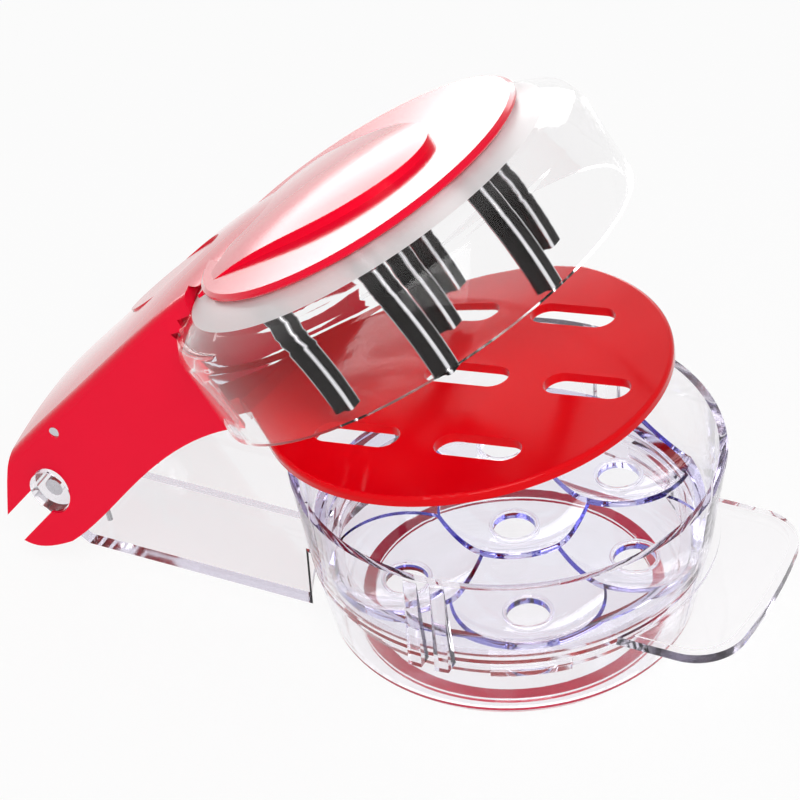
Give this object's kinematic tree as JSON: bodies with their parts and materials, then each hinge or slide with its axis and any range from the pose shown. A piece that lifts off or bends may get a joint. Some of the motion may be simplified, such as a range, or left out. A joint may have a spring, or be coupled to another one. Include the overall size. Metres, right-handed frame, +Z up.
{
  "type": "cherry pitter",
  "caption": "Hand-held cherry pitter: hinged red arm with clear splash shroud and steel plungers, slotted red stripper plate, clear bowl with cup tray, and twist-off pit container.",
  "frame": {"origin": "centre of the non-slip ring's underside, on the bowl's axis, at table height", "axes": "+X forward to the front tab, +Y to the left side, +Z up along the bowl's axis"},
  "size_m": [0.2016, 0.1174, 0.1435],
  "materials": {
    "clear": "clear moulded plastic",
    "red_arm": "gloss",
    "red_plate": "gloss",
    "red_badge": "gloss",
    "ring": "matt",
    "steel": "bright",
    "plunger_steel": "polished"
  },
  "bodies": {
    "base": {"base_frame": "clear", "hinge_pin": "steel", "arm_spring": "steel", "plate_spring": "steel"},
    "arm": {"arm_shell": "red_arm", "splash_shroud": "clear", "badge_blank": "red_badge", "spring_pin": "steel", "shroud_screws": "steel", "plunger_center": "plunger_steel", "plunger_front": "plunger_steel", "plunger_front_left": "plunger_steel", "plunger_front_right": "plunger_steel", "plunger_rear_left": "plunger_steel", "plunger_rear_right": "plunger_steel"},
    "plate": {"stripper_plate": "red_plate"},
    "tray": {"cherry_tray": "clear"},
    "container": {"pit_container": "clear", "non_slip_ring": "ring"}
  },
  "joints": [
    {"name": "arm_hinge", "type": "hinge", "parent": "base", "child": "arm", "pos_m": [-0.116, 0, 0.0245], "axis": [0, 1, 0], "range_deg": [0, 31.8], "stiffness_Nm_per_rad": 0.45, "springref_deg": -34.38, "deforming": ["arm_spring"]},
    {"name": "plate_hinge", "type": "hinge", "parent": "base", "child": "plate", "pos_m": [-0.116, 0, 0.0245], "axis": [0, 1, 0], "range_deg": [0, 9.2], "stiffness_Nm_per_rad": 0.1, "springref_deg": -34.38, "deforming": ["plate_spring"]},
    {"name": "tray_lift", "type": "slide", "parent": "base", "child": "tray", "axis": [0, 0, 1], "range_m": [0, 0.018]},
    {"name": "container_twist", "type": "hinge", "parent": "base", "child": "container", "pos_m": [0, 0, 0], "axis": [0, 0, 1], "range_deg": [0, 30]}
  ],
  "couplings": [
    {"joint": "plate_hinge", "follows": "arm_hinge", "ratio": 0.2893}
  ]
}
